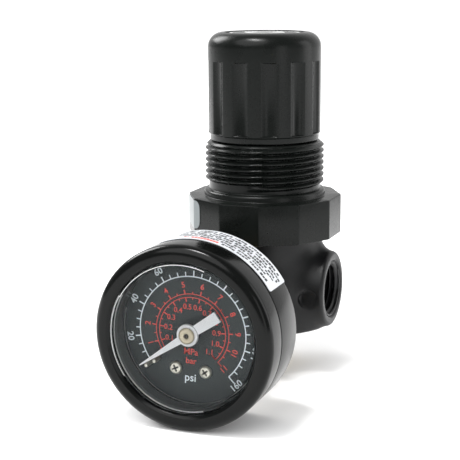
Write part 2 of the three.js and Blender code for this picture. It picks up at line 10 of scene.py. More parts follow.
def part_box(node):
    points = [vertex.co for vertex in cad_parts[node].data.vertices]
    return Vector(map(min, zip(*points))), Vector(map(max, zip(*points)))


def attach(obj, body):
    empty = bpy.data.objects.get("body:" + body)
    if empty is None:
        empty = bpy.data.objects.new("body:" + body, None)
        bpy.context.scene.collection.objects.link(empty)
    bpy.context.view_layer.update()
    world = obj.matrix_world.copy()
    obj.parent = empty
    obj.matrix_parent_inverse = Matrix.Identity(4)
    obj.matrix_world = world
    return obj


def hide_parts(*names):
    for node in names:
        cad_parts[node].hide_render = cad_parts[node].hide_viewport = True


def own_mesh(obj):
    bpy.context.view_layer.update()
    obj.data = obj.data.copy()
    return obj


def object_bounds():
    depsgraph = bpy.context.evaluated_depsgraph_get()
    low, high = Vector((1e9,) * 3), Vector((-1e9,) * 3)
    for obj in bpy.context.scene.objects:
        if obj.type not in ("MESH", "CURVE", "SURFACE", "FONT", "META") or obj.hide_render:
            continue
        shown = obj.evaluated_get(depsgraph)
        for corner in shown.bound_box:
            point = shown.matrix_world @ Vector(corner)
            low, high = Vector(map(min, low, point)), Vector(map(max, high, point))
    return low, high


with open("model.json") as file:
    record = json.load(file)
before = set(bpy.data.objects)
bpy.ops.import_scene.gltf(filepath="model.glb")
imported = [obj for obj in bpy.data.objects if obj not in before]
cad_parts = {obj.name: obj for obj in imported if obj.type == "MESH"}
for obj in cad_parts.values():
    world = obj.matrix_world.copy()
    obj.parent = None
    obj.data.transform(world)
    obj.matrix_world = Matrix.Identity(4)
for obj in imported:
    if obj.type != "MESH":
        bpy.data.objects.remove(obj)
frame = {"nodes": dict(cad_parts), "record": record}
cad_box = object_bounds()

MM = 0.001
TURN = 2 * math.pi
RNG = np.random.default_rng(7)


def reach(node):
    """Lowest and highest corner of a CAD node, in millimetres."""
    low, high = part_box(node)
    return np.array(low) / MM, np.array(high) / MM


def span_of(node, axis=2):
    """Lowest and highest place of a CAD node along one axis, in millimetres."""
    low, high = reach(node)
    return low[axis], high[axis]


# ---- Sizes, in millimetres, taken from the frame where it has them ----
BODY_LOW, BODY_HIGH = reach("body")
PORT_FACE = BODY_HIGH[0]
BARREL_R = 14.5
BARREL_LOW, BARREL_TOP = BODY_LOW[2], 14.5
FLANGE_R, FLANGE_LOW = 17.0, 14.2  # what the collar stands on
PIPE_BOSS_R, GAUGE_BOSS_R = 9.45, 8.6
PIPE_BORE_R, GAUGE_BORE_R = 7.0, 5.2
BORE_END = 8.5  # where the four bores stop, from the body's axis
CHAMBERS = ((7.2, -14, -9.3), (5.6, -9.5, 4), (2.6, 3, 7), (5, 6, 14), (12.5, 13, 22))  # radius, low, high
PASSAGES = ((2.2, 10.4, 0), (1.5, 0, 10.6), (1.5, 0, -10.6))  # radius, x, y of those up to the diaphragm
PIPE_PITCH = 25.4 / 18  # of the 1/4 in pipe ports
SMALL_PIPE_PITCH = 25.4 / 27  # of the 1/8 in stem and plug

COLLAR_SIDES = 12
COLLAR_LOW = span_of("bonnet")[0]
COLLAR_TOP = COLLAR_LOW + 10
COLLAR_FLAT = 19.42 * math.cos(math.pi / COLLAR_SIDES)
SHOULDER = 37.3  # top of the threaded neck
CREST_R, ROOT_R, NECK_PITCH = 15.0, 14.1, 1.5  # M30 x 1.5 panel thread
HUB_R, HUB_TOP = 11.6, 49.0  # the hub that rises inside the knob

KNOB_LOW, KNOB_TOP = span_of("knob")
KNOB_R, LIP_R, KNOB_BORE_R = 14.07, 13.7, 12.3
RECESS_R = 10.07  # holds the cover disc
FLUTE_LOW, FLUTE_TOP = 39.2, 57.35

DIAL_Y = span_of("gauge_dial", 1)[0]
DIAL_R = 19.6
DIAL_TWIST = -2.5  # degrees that the dial stopped past upright
INK_LOW, INK_TOP = -0.05, 0.03  # print on the dial, from its face
CASE_R = reach("gauge_case")[1][0]
CASE_BACK = DIAL_Y - span_of("gauge_case", 1)[1]
CASE_WALL = 0.8
BEZEL_FRONT = DIAL_Y - span_of("gauge_bezel", 1)[0]
OPENING_R = 17.3  # of the bezel
SCREW_CIRCLE = 9.45
SCREW_BEARINGS = {"dial_screw_left": -112.3, "dial_screw_right": -67.7}
CASE_SCREW_Y = 10.5  # from the gauge's axis to its two rear screws
POINTER_RING_R, POINTER_HOLE_R = 2.55, 1.2
POINTER_REST = 214.4  # degrees: its bearing on the stop pins


# ---- Mesh helpers: a part is (vertices, faces), in millimetres ----
def ring_faces(rings, count, closed=False):
    """Quads between neighbouring rings of vertices, and from the last to the first if closed."""
    pairs = [(i, (i + 1) % rings) for i in range(rings if closed else rings - 1)]
    return [
        (here * count + j, here * count + (j + 1) % count, above * count + (j + 1) % count, above * count + j)
        for here, above in pairs
        for j in range(count)
    ]


def turned(rows, columns=64, ring=False):
    """Rows of (radius, height) turned about Z. Either may be an array over the columns' angles."""
    angles = np.arange(columns) / columns * TURN if isinstance(columns, int) else columns
    count = len(angles)
    poles = [not ring and np.isscalar(rows[k][0]) and rows[k][0] == 0 for k in (0, -1)]
    inner = rows[1 if poles[0] else 0 : len(rows) - 1 if poles[1] else len(rows)]
    points = [
        np.stack([radius * np.cos(angles), radius * np.sin(angles), height + 0 * angles], 1)
        for radius, height in inner
    ]
    verts = list(np.concatenate(points))
    faces = ring_faces(len(inner), count, ring)
    for pole, row, base in ((poles[0], rows[0], 0), (poles[1], rows[-1], (len(inner) - 1) * count)):
        if pole:
            verts.append(np.array([0, 0, row[1]], float))
            tip = len(verts) - 1
            faces += [(tip, base + j, base + (j + 1) % count) for j in range(count)]
    return np.array(verts), faces


def rounded(corners, ring=False, steps=4):
    """A profile through corners (radius, height, fillet), each turned into an arc of its fillet."""
    out = []
    last = len(corners) - 1
    for i, (x, y, fillet) in enumerate(corners):
        if fillet == 0 or (not ring and i in (0, last)):
            out.append((x, y))
            continue
        here = np.array([x, y], float)
        before = np.array(corners[i - 1][:2]) - here
        after = np.array(corners[(i + 1) % len(corners)][:2]) - here
        lengths = np.linalg.norm(before), np.linalg.norm(after)
        before, after = before / lengths[0], after / lengths[1]
        beside = corners[i - 1][2], corners[(i + 1) % len(corners)][2]
        room = min(span * fillet / (fillet + other) for span, other in zip(lengths, beside))
        half = math.acos(np.clip(before @ after, -1, 1)) / 2
        back = min(fillet / math.tan(half), 0.98 * room)
        size = back * math.tan(half)
        middle = (before + after) / np.linalg.norm(before + after)
        centre = here + middle * size / math.sin(half)
        first, final = here + before * back - centre, here + after * back - centre
        angle = math.atan2(first[1], first[0])
        sweep = (math.atan2(final[1], final[0]) - angle + math.pi) % TURN - math.pi
        for k in range(steps + 1):
            at = angle + sweep * k / steps
            out.append((centre[0] + size * math.cos(at), centre[1] + size * math.sin(at)))
    return out


def lathe(corners, columns=64, ring=False, steps=4):
    return turned(rounded(corners, ring, steps), columns, ring)


def rod(radius, low, high, columns=24):
    """A plain cylinder along Z, mostly to cut holes with."""
    return lathe([(0, low, 0), (radius, low, 0), (radius, high, 0), (0, high, 0)], columns)


def strip(sections):
    """A closed solid through sections, each an equal ring of points."""
    count, total = len(sections[0]), len(sections)
    verts = np.concatenate([np.array(s, float) for s in sections])
    first_end = tuple(range(count))[::-1]
    last_end = tuple((total - 1) * count + j for j in range(count))
    return verts, [*ring_faces(total, count), first_end, last_end]


def band(inner, outer, low, high, start, end, steps=48):
    """A band of a ring from angle start to end, in degrees."""
    sections = []
    for angle in np.radians(np.linspace(start, end, steps + 1)):
        c, s = math.cos(angle), math.sin(angle)
        corners = ((inner, low), (outer, low), (outer, high), (inner, high))
        sections.append([(r * c, r * s, z) for r, z in corners])
    return strip(sections)


def bar(first, last, width, low, high):
    """A flat bar between two points (x, y)."""
    first, last = np.array(first, float), np.array(last, float)
    along = (last - first) / np.linalg.norm(last - first)
    side = np.array([-along[1], along[0]]) * width / 2
    corners = [first - side, last - side, last + side, first + side]
    return strip([[(*c, low) for c in corners], [(*c, high) for c in corners]])


def plate(outline, low, high):
    return strip([[(*p, low) for p in outline], [(*p, high) for p in outline]])


def polar(radius, degrees):
    return radius * math.cos(math.radians(degrees)), radius * math.sin(math.radians(degrees))


def polygon_radius(angles, flat, sides, corner=0.0):
    """Radius of a regular outline at some angles. A flat faces angle 0, and the corners may be rounded."""
    half = math.pi / sides
    off = np.abs((angles + half) % (2 * half) - half)
    centre = (flat - corner) / math.cos(half)
    swing = half - off
    arc = centre * np.cos(swing) + np.sqrt(np.maximum(corner**2 - (centre * np.sin(swing)) ** 2, 0))
    return np.where(flat * np.tan(off) > (flat - corner) * math.tan(half), arc, flat / np.cos(off))


def drawn_in(corner, along):
    """How far a rounded corner draws an edge in, at a distance along from the end."""
    return corner - math.sqrt(max(corner**2 - (corner - min(along, corner)) ** 2, 0))


def moved(part, x=0.0, y=0.0, z=0.0, spin=0.0):
    verts, faces = part
    c, s = math.cos(spin), math.sin(spin)
    turned_verts = verts @ np.array([[c, s, 0], [-s, c, 0], [0, 0, 1]])
    return turned_verts + np.array([x, y, z]), faces


def merged(parts):
    verts, faces, base = [], [], 0
    for part_verts, part_faces in parts:
        verts.append(part_verts)
        faces += [tuple(base + k for k in face) for face in part_faces]
        base += len(part_verts)
    return np.concatenate(verts), faces


def upright(verts):
    """Regulator axes, as they are."""
    return verts


def on_gauge(verts):
    """Gauge axes: X right, Y up, Z out of the dial's face."""
    return np.stack([verts[:, 0], DIAL_Y - verts[:, 2], verts[:, 1]], 1)


def along_x(verts):
    return verts[:, [2, 0, 1]]


def along_y(verts):
    return verts[:, [1, 2, 0]]


def mesh_of(name, parts, place=upright):
    verts, faces = merged(parts)
    mesh = bpy.data.meshes.new(name)
    mesh.from_pydata((place(verts) * MM).tolist(), [], faces)
    shape = bmesh.new()
    shape.from_mesh(mesh)
    bmesh.ops.recalc_face_normals(shape, faces=shape.faces)
    shape.to_mesh(mesh)
    shape.free()
    return mesh


def placed(name, data):
    """A new object in the scene."""
    obj = bpy.data.objects.new(name, data)
    bpy.context.scene.collection.objects.link(obj)
    return obj


def piece(name, mesh, finish, body, nodes=(), sharp=35):
    """A new object that rides on a body, stands for CAD nodes and takes its finish from a slot."""
    mesh.shade_smooth()
    mesh.set_sharp_from_angle(angle=math.radians(sharp))
    mesh.materials.clear()
    mesh.materials.append(finish)
    obj = placed(name, mesh)
    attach(obj, body)
    if nodes:
        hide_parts(*nodes)
    return obj


def build(name, parts, finish, body, nodes=(), place=upright, sharp=35):
    """A piece straight from its parts."""
    return piece(name, mesh_of(name, parts, place), finish, body, nodes, sharp)


def joined(mesh, other):
    """The first mesh with the second one's faces added."""
    shape = bmesh.new()
    shape.from_mesh(mesh)
    shape.from_mesh(other)
    shape.to_mesh(mesh)
    shape.free()
    return mesh


def carved(mesh, *tools):
    """The mesh with each tool mesh cut out of it."""
    obj = placed("blank", mesh)
    cutters = []
    for tool in tools:
        cutter = placed("cutter", tool)
        step = obj.modifiers.new("cut", "BOOLEAN")
        step.operation = "DIFFERENCE"
        step.solver = "EXACT"
        step.object = cutter
        cutters.append(cutter)
    bpy.context.view_layer.update()
    graph = bpy.context.evaluated_depsgraph_get()
    result = bpy.data.meshes.new_from_object(obj.evaluated_get(graph))
    for made in (obj, *cutters):
        bpy.data.objects.remove(made)
    return result


# ---- Materials ----
CLOUD_SIZE = 6.0  # millimetres
FINISHES = {}  # by name, which is also the slot's name where the record has it


def set_inputs(node, **values):
    """Put values in a node's sockets. An underscore stands for a space."""
    for socket, value in values.items():
        node.inputs[socket.replace("_", " ")].default_value = value
    return node


def add_node(tree, kind, **values):
    return set_inputs(tree.nodes.new("ShaderNode" + kind), **values)


def finish_of(name, colour, roughness, metallic=0.0, grain=0.2, variation=0.12, bump=0.002, **extra):
    """A procedural finish: grain in colour and relief, clouds in colour and roughness.

    The sizes of the grain and of the bumps are in millimetres, and extra is for other sockets.
    """
    made = bpy.data.materials.new(name)
    made.use_nodes = True
    tree = made.node_tree
    link = tree.links.new
    shader = tree.nodes["Principled BSDF"]
    place = add_node(tree, "TexCoord")
    fine = add_node(tree, "TexNoise", Scale=1 / (grain * MM), Detail=3)
    clouds = add_node(tree, "TexNoise", Scale=1 / (CLOUD_SIZE * MM), Detail=4)
    for noise in (fine, clouds):
        link(place.outputs["Object"], noise.inputs["Vector"])
    blend = add_node(tree, "Math")
    blend.operation = "MULTIPLY_ADD"
    blend.inputs[1].default_value = 0.6
    link(fine.outputs["Fac"], blend.inputs[0])
    link(clouds.outputs["Fac"], blend.inputs[2])
    ramp = add_node(tree, "ValToRGB")
    tones = zip(ramp.color_ramp.elements, (0.55, 1.0), (1 - variation, 1 + variation))
    for stop, position, factor in tones:
        stop.position = position
        stop.color = (*(min(c * factor, 1) for c in colour), 1)
    link(blend.outputs[0], ramp.inputs["Fac"])
    link(ramp.outputs["Color"], shader.inputs["Base Color"])
    low, high = roughness * 0.88, roughness * 1.12
    spread = add_node(tree, "MapRange", From_Min=0.3, From_Max=0.7, To_Min=low, To_Max=high)
    link(clouds.outputs["Fac"], spread.inputs["Value"])
    link(spread.outputs["Result"], shader.inputs["Roughness"])
    relief = add_node(tree, "Bump", Strength=1.0, Distance=bump * MM)
    link(fine.outputs["Fac"], relief.inputs["Height"])
    link(relief.outputs["Normal"], shader.inputs["Normal"])
    set_inputs(shader, Metallic=metallic, **extra)
    FINISHES[name] = made
    return made


def mix_of(tree, share, first, second):
    """Wire the material's or world's surface to a mix of two shaders' outputs."""
    mix = add_node(tree, "MixShader")
    for source, socket in zip((share, first.outputs[0], second.outputs[0]), mix.inputs):
        tree.links.new(source, socket)
    output = next(node for node in tree.nodes if "Surface" in node.inputs)
    tree.links.new(mix.outputs[0], output.inputs["Surface"])


def clear_finish(name):
    """Clear moulded plastic: it shows what is behind it, and gleams more the flatter it is seen."""
    made = finish_of(name, (0.3, 0.32, 0.32), 0.06, grain=1.5, variation=0.03, Specular_IOR_Level=0.9)
    tree = made.node_tree
    see_through = add_node(tree, "BsdfTransparent", Color=(0.99, 0.995, 0.995, 1))
    edge = add_node(tree, "Fresnel", IOR=1.4)
    mix_of(tree, edge.outputs["Fac"], see_through, tree.nodes["Principled BSDF"])
    return made


PAINT = finish_of("body_paint", (0.0055, 0.0058, 0.0062), 0.4, grain=0.35, bump=0.016, variation=0.3,
                  Specular_IOR_Level=0.27)
ACETAL = finish_of("black_acetal", (0.0045, 0.0055, 0.0049), 0.27, grain=0.3, bump=0.004, variation=0.2,
                   Specular_IOR_Level=0.17)
GAUGE_BLACK = finish_of("gauge_plastic", (0.0032, 0.0036, 0.0034), 0.17, grain=0.5, variation=0.2,
                        Specular_IOR_Level=0.17)
LENS = clear_finish("clear_lens")
# Near-white finish for painted highlights: arcs on the lens's rims where they would catch the light.
PAINTED_LENS_GLINT = finish_of("painted_lens_glint", (0.85, 0.88, 0.87), 0.25, grain=0.5, variation=0.25)
DIAL_PAINT = finish_of("dial_paint", (0.042, 0.05, 0.052), 0.6, bump=0.001, variation=0.08,
                       Specular_IOR_Level=0.2)
PRINT_WHITE = finish_of("print_white", (0.8, 0.88, 0.92), 0.5, grain=0.1, bump=0.001, variation=0.05)
PRINT_RED = finish_of("print_red", (0.8, 0.07, 0.05), 0.5, grain=0.1, bump=0.001, variation=0.08)
POINTER_PAINT = finish_of("pointer_paint", (0.9, 0.9, 0.92), 0.4, grain=0.4, variation=0.04)
BRASS = finish_of("brass", (0.6, 0.47, 0.25), 0.3, metallic=1, bump=0.004)
HUB_BRASS = finish_of("hub_brass", (0.56, 0.49, 0.36), 0.36, metallic=0.5, bump=0.004, variation=0.1)
NICKEL = finish_of("nickel", (0.6, 0.58, 0.5), 0.3, metallic=0.7, grain=0.3, bump=0.004, variation=0.08)
STEEL = finish_of("steel", (0.52, 0.53, 0.54), 0.3, metallic=1, bump=0.005)
RUBBER = finish_of("rubber", (0.008, 0.008, 0.008), 0.75, bump=0.01, variation=0.2)
LABEL = finish_of("white_label", (0.6, 0.62, 0.645), 0.42, grain=0.6, variation=0.05)
LABEL_INK = finish_of("label_ink", (0.012, 0.012, 0.016), 0.5, bump=0.001, variation=0.2)
LABEL_RED = finish_of("label_red", (0.75, 0.05, 0.03), 0.5, bump=0.001, variation=0.1)
SILVER = finish_of("silver_label", (0.18, 0.2, 0.205), 0.36, metallic=0.3, grain=0.4, bump=0.003,
                   variation=0.08)
MARK_SILVER = finish_of("mark_silver", (0.75, 0.76, 0.75), 0.35, metallic=0.3, grain=0.3, variation=0.05)
# Painted shade: a dark finish laid in the bottoms of small recesses (the screws' crosses, the pointer boss's
# centre).
PAINTED_SHADE = finish_of("painted_recess_shade", (0.05, 0.04, 0.034), 0.6, bump=0.004, variation=0.2)


# ---- Die-cast body: a distance field, so that the bosses flow into the barrel ----
def rod_field(p, radius, low, high, axis, edge=0.0):
    """Distance to a rod along an axis, with rounded rims."""
    others = [k for k in range(3) if k != axis]
    across = np.hypot(p[others[0]], p[others[1]]) - radius + edge
    along = np.maximum(low - p[axis], p[axis] - high) + edge
    outside = np.hypot(np.maximum(across, 0), np.maximum(along, 0))
    return np.minimum(np.maximum(across, along), 0) + outside - edge


def smooth_union(a, b, size):
    """The nearer of two distances, with a fillet of about this size where they meet."""
    share = np.maximum(size - np.abs(a - b), 0) / size
    return np.minimum(a, b) - share * share * size / 4


def smooth_cut(a, b, size):
    return -smooth_union(-a, b, size)


def body_field(p):
    """The casting: a barrel, four bosses and a flange, less its ports, chambers and passages."""

    def shifted(x=0.0, y=0.0, z=0.0):
        return p[0] - x, p[1] - y, p[2] - z

    barrel = rod_field(p, BARREL_R, BARREL_LOW, BARREL_TOP, 2, 1.2)
    gauge_bosses = rod_field(p, GAUGE_BOSS_R, -PORT_FACE, PORT_FACE, 1, 0.7)
    pipe_bosses = rod_field(p, PIPE_BOSS_R, -PORT_FACE, PORT_FACE, 0, 0.9)
    solid = smooth_union(smooth_union(barrel, gauge_bosses, 4.1), pipe_bosses, 4.6)
    solid = np.maximum(solid, BARREL_LOW - p[2])
    solid = smooth_union(solid, rod_field(p, FLANGE_R, FLANGE_LOW, BODY_HIGH[2], 2, 0.3), 0.6)
    for sign in (1, -1):
        ends = sorted((sign * BORE_END, sign * (PORT_FACE + 3)))
        solid = smooth_cut(solid, rod_field(p, PIPE_BORE_R, *ends, 0), 0.25)
        solid = smooth_cut(solid, rod_field(p, GAUGE_BORE_R, *ends, 1), 0.5)
        lead_in = np.hypot(p[1], p[2]) - 6.6 - (sign * p[0] - PORT_FACE + 0.9)
        solid = smooth_cut(solid, np.maximum(lead_in, -(sign * p[0])), 0.2)
        round_mark = rod_field(shifted(x=sign * 14.75, z=-0.96), 2.35, -12.0, -9.0, 1)
        solid = smooth_cut(solid, round_mark, 0.35)
    for radius, low, high in CHAMBERS:
        solid = smooth_cut(solid, rod_field(p, radius, low, high, 2), 0.2)
    inlet_passage = rod_field(shifted(z=-2), 2.6, -9.5, -3, 0)
    solid = smooth_cut(solid, inlet_passage, 0.2)
    for radius, x, y in PASSAGES:
        solid = smooth_cut(solid, rod_field(shifted(x, y), radius, 0, 14, 2), 0.2)
    return solid


def surface_net(field, low, high, step):
    """Vertices and quads of the field's zero surface: one vertex in each cell that it crosses."""
    axes = [np.arange(a, b + step, step) for a, b in zip(low, high)]
    values = field(np.meshgrid(*axes, indexing="ij"))
    inside = values < 0
    cells = tuple(n - 1 for n in values.shape)
    total = np.zeros((3, *cells))
    hits = np.zeros(cells)

    def window(k, offset):
        return slice(offset, offset + cells[k])

    for axis in range(3):
        a, b = [k for k in range(3) if k != axis]
        for da in (0, 1):
            for db in (0, 1):
                first, second = [None] * 3, [None] * 3
                for k, offset in ((a, da), (b, db)):
                    first[k] = second[k] = window(k, offset)
                first[axis], second[axis] = window(axis, 0), window(axis, 1)
                v0, v1 = values[tuple(first)], values[tuple(second)]
                crossed = (v0 < 0) != (v1 < 0)
                share = np.where(crossed, v0 / np.where(crossed, v0 - v1, 1), 0)
                hits += crossed
                total[axis] += share
                total[a] += crossed * da
                total[b] += crossed * db
    used = hits > 0
    index = np.full(cells, -1)
    index[used] = np.arange(used.sum())
    where = np.argwhere(used)
    verts = (where + (total[:, used] / hits[used]).T) * step + np.array([ax[0] for ax in axes])
    faces = []
    for axis in range(3):
        a, b = (axis + 1) % 3, (axis + 2) % 3
        edge = np.diff(inside.astype(np.int8), axis=axis)
        inner = [slice(None)] * 3
        inner[a], inner[b] = slice(1, cells[a]), slice(1, cells[b])
        trimmed = edge[tuple(inner)]
        for sign in (1, -1):
            at = np.argwhere(trimmed == sign)
            at[:, a] += 1
            at[:, b] += 1
            corners = []
            for da, db in ((-1, -1), (0, -1), (0, 0), (-1, 0)):
                cell = at.copy()
                cell[:, a] += da
                cell[:, b] += db
                corners.append(index[cell[:, 0], cell[:, 1], cell[:, 2]])
            faces.append(np.stack(corners if sign < 0 else corners[::-1], 1))

    def slope(points):
        """Gradient of the field, from its values a little to either side."""
        small = 0.02
        sides = []
        for k in range(3):
            offset = np.zeros((1, 3))
            offset[0, k] = small
            sides.append((field((points + offset).T) - field((points - offset).T)) / (2 * small))
        return np.stack(sides, 1)

    least_slope = 0.5
    for _ in range(4):
        gradient = slope(verts)
        size = np.maximum((gradient**2).sum(1), least_slope**2)
        step_back = (field(verts.T) / size)[:, None] * gradient
        verts = verts - np.clip(step_back, -step / 2, step / 2)
    return verts, np.concatenate(faces).tolist()


def make_body():
    margin, step = 1.0, 0.42
    low, high = BODY_LOW - margin, BODY_HIGH + margin
    low[0], high[0] = -PORT_FACE - margin, PORT_FACE + margin
    part = surface_net(body_field, low, high, step)
    build("body_casting", [part], PAINT, "housing", ["body"], sharp=50)


def helix(angles, heights, pitch, start, flat=0.18):
    """Height of a thread's flank, 0 at the root and 1 on the flat crest, and the turn it belongs to."""
    turns = (heights - start) / pitch - angles / TURN
    nearest = np.round(turns)
    off = np.abs(turns - nearest) * pitch
    flank = pitch / 2 * (1 - flat) * 0.9
    rise = np.clip(1 - (off - flat * pitch / 2) / flank, 0, 1)
    return rise, nearest + angles / TURN


def make_port_threads():
    """18 threads to the inch in the two pipe ports, cut into a lining of the bore."""
    angles = np.arange(96) / 96 * TURN
    lining_r, lining_end = PIPE_BORE_R - 0.02, BORE_END + 0.1
    root, depth = 6.82, 0.87
    narrow, lead_in = 5.95, 0.75  # radius of the crests, and how much the mouth widens
    for name, sign in (("outlet_thread", 1), ("inlet_thread", -1)):
        rows = [(lining_r, lining_end), (lining_r, PORT_FACE - 0.35), (6.85, PORT_FACE - 0.3)]
        for z in np.arange(PORT_FACE - 0.4, 9.4, -PIPE_PITCH / 12):
            rise, _ = helix(angles, z, PIPE_PITCH, 10.0)
            mouth = narrow + np.clip(z - PORT_FACE + 1.3, 0, 1) * lead_in
            rows.append((np.maximum(root - depth * rise, mouth), z))
        rows.append((6.0, lining_end))
        verts, faces = turned(rows, angles, ring=True)
        verts[:, 2] *= sign
        build(name, [(verts, faces)], PAINT, "housing", place=along_x, sharp=60)


# ---- Bonnet: twelve-sided collar, bead, panel thread and hub ----
def collar_radius(bearing, inset=0.0):
    """Radius of the collar's outline at a bearing in radians."""
    return polygon_radius(bearing, COLLAR_FLAT - inset, COLLAR_SIDES, corner=0.55)


def facet_bearings():
    """Bearings all round in radians, with extra ones at the collar's rounded corners."""
    facet = 360 / COLLAR_SIDES
    steps = [0, 0.25, 0.5, *np.arange(1.5, facet - 1, 1.5), facet - 0.5, facet - 0.25]
    degrees = [facet / 2 + facet * k + step for k in range(COLLAR_SIDES) for step in steps]
    return np.sort(np.radians(degrees) % TURN)


def make_bonnet():
    bearings = facet_bearings()
    angles = bearings - math.pi / 2
    foot, chamber = 17.3, 12.6
    chamfer = ((0.4, 0), (0.12, 0.1), (0, 0.4))
    rows = [(foot, COLLAR_LOW)]
    rows += [(collar_radius(bearings, inset), COLLAR_LOW + z) for inset, z in chamfer]
    rows += [(collar_radius(bearings, inset), COLLAR_TOP - z) for inset, z in reversed(chamfer)]
    bead = rounded([
        (17, COLLAR_TOP, 0), (15.35, COLLAR_TOP, 0.2), (15.25, 25.1, 0.75), (14.15, 25.3, 0.3),
        (ROOT_R, 26.0, 0),
    ], steps=6)
    rows += bead[1:]
    thread_start, fade_in = 26.79, 0.1
    for z in np.arange(26.1, SHOULDER - 0.01, NECK_PITCH / 13):
        rise, turn = helix(bearings, z, NECK_PITCH, thread_start)
        fade = np.clip(turn / fade_in, 0, 1)
        chamfered = 13.85 + (SHOULDER - z) * 1.1
        rows.append((np.minimum(ROOT_R + (CREST_R - ROOT_R) * rise * fade, chamfered), z))
    spring_bore, key_bore, key_half = 9.8, 10.45, 1.7
    keyed = np.where(np.abs(np.cos(bearings)) * 10.5 < key_half, key_bore, spring_bore)
    groove, screw_hole, web_low = HUB_R - 0.5, 4.0, 46.0
    rows += [
        (13.8, SHOULDER), (HUB_R, SHOULDER), (HUB_R, 42.9), (groove, 42.9), (groove, 44.3),
        (HUB_R, 44.3), (HUB_R, HUB_TOP - 0.6), (HUB_R - 0.6, HUB_TOP), (screw_hole, HUB_TOP),
        (screw_hole, web_low), (keyed, web_low), (keyed, 24.6), (chamber, 22.8),
        (chamber, 19.8), (foot, 19.8),
    ]
    blank = mesh_of("bonnet_shell", [turned(rows, angles, ring=True)])
    vent = mesh_of("vent", [rod(0.8, 8, 17)], along_y)
    vent.transform(Matrix.Translation((0, 0, 25.95 * MM)))
    piece("bonnet_shell", carved(blank, vent), ACETAL, "housing", ["bonnet"], sharp=38)


def make_collar_sticker():
    """A silver sticker bent round one corner of the collar."""
    low, high = span_of("bonnet_label")
    start, end, steps = math.radians(-76), math.radians(-38), 48
    length, corner = 12.6, 1.9

    def point(bearing, lift):
        radius = collar_radius(np.array([bearing]))[0] + lift
        return radius * math.sin(bearing), -radius * math.cos(bearing)

    sections = []
    for share in np.linspace(0, 1, steps + 1):
        bearing = start + (end - start) * share
        inset = drawn_in(corner, min(share, 1 - share) * length)
        near, far = point(bearing, 0.03), point(bearing, 0.14)
        foot, head = low + inset, high - inset
        sections.append([(*near, foot), (*far, foot), (*far, head), (*near, head)])
    build("collar_sticker", [strip(sections)], SILVER, "housing", ["bonnet_label"], sharp=30)


# ---- Knob ----
def make_knob():
    columns, flutes = 360, 12
    angles = np.arange(columns) / columns * TURN
    tool, depth, first = 3.2, 0.75, -5.3  # a scallop's radius and depth, and the bearing of one
    tool_circle = KNOB_R + tool - depth
    spacing = 360 / flutes
    bearings = np.degrees(angles + math.pi / 2)
    off = np.radians((bearings - first + spacing / 2) % spacing - spacing / 2)
    hit = tool_circle * np.abs(np.sin(off)) < tool
    inside = np.maximum(tool**2 - (tool_circle * np.sin(off)) ** 2, 0)
    unreached = 99.0
    scallop = np.where(hit, tool_circle * np.cos(off) - np.sqrt(inside), unreached)
    fluted = smooth_union(np.full(columns, KNOB_R), scallop, 0.3)

    socket = polygon_radius(angles, 3.95 * math.cos(math.pi / 6), 6)
    socket_low, socket_top, socket_wall, ceiling = 52.0, 58.8, 6.5, 59.4
    rows = [(0, socket_top), (socket, socket_top), (socket, socket_low)]
    rows += [(socket_wall, socket_low), (socket_wall, ceiling), (KNOB_BORE_R, ceiling)]
    skirt = rounded([
        (KNOB_BORE_R, 50, 0), (KNOB_BORE_R, KNOB_LOW, 0.25), (LIP_R, KNOB_LOW, 0.35),
        (LIP_R, FLUTE_LOW - 0.2, 0.1), (KNOB_R, FLUTE_LOW + 0.15, 0.12), (KNOB_R, 50, 0),
    ])
    rows += skirt[1:-1]
    for share, z in ((0, 0.3), (0.6, 0.34), (0.92, 0.45), (1, 0.6)):
        rows.append((KNOB_R + (fluted - KNOB_R) * share, FLUTE_LOW + z))
    for share, z in ((1, 0.35), (0.92, 0.2), (0.6, 0.08), (0, 0.03)):
        rows.append((KNOB_R + (fluted - KNOB_R) * share, FLUTE_TOP - z))
    floor = span_of("knob_cover")[0] - 0.3
    rows += rounded([
        (KNOB_R, FLUTE_TOP, 0), (KNOB_R, KNOB_TOP, 3.6), (RECESS_R, KNOB_TOP, 0.3),
        (RECESS_R, floor, 0.15), (0, floor, 0),
    ], steps=10)
    shell = turned(rows, angles)
    build("knob_shell", [shell], ACETAL, "knob_body", ["knob"], sharp=42)


def make_knob_cover():
    """A slightly domed disc, printed with two turning arrows in a ring of dashes."""
    base, top = span_of("knob_cover")
    disc = lathe([
        (0, base, 0), (9.75, base, 0), (9.75, top - 0.1, 0.3), (9.0, top, 0.3),
        (4, top + 0.1, 2), (0, top + 0.12, 0),
    ], 96)
    build("knob_cap", [disc], ACETAL, "knob_body", ["knob_cover"], sharp=40)
    print_low, print_top, rim_top = top - 0.05, top + 0.15, top + 0.05
    marks = []
    for turn in (0, 180):
        marks.append(band(3.6, 5.1, print_low, print_top, 32 + turn, 165 + turn, 40))
        head = [polar(6.3, 163 + turn), polar(4.6, 192 + turn), polar(2.4, 163 + turn)]
        marks.append(plate(head, print_low, print_top))
    angle = 0.0
    while angle < 352:
        dash = RNG.uniform(2.5, 6)
        marks.append(band(8.1, 8.75, print_low, rim_top, angle, angle + dash, 3))
        angle += dash + RNG.uniform(1.6, 3)
    build("knob_cap_marks", marks, MARK_SILVER, "knob_body")


